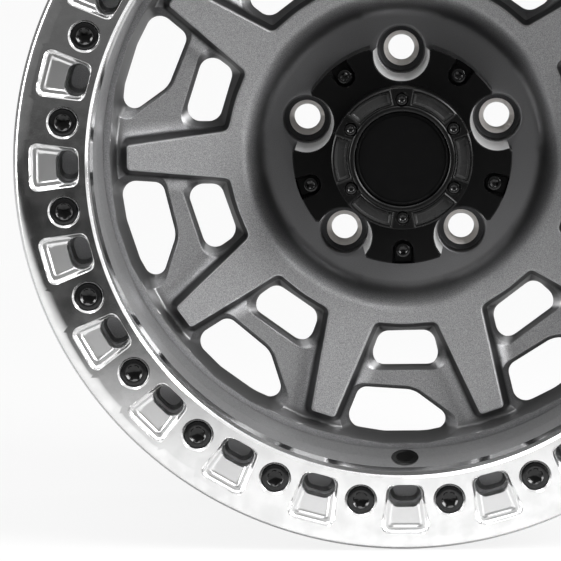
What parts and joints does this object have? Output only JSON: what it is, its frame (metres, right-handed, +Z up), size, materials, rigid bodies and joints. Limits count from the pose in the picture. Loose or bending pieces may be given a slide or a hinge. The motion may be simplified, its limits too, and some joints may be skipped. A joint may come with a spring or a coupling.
{
  "type": "beadlock wheel",
  "caption": "Cast off-road road wheel with windowed spokes, a bolted outer clamp ring that grips the tyre bead, and a bolt-on centre cap.",
  "frame": {"origin": "centre of the hub mounting face, on the wheel axis", "axes": "+Y along the wheel axis towards the vehicle, the front of the wheel looks to -Y, +Z up with one lug hole at the top and the valve hole at the bottom"},
  "size_m": [0.4789, 0.258, 0.479],
  "materials": {
    "casting_paint": "matte gunmetal paint on cast aluminium",
    "ring_metal": "machined bare aluminium",
    "bolt_black": "black oxide steel",
    "cap_black": "satin black anodised aluminium",
    "bezel_black": "satin black anodised aluminium",
    "badge_black": "plain black",
    "screw_black": "black oxide steel"
  },
  "bodies": {
    "root": {"wheel_casting": "casting_paint", "beadlock_ring": "ring_metal", "beadlock_bolts": "bolt_black", "cap_base": "cap_black", "cap_bezel": "bezel_black", "cap_badge": "badge_black", "cap_bezel_screws": "screw_black", "cap_mount_screws": "screw_black"}
  },
  "joints": []
}
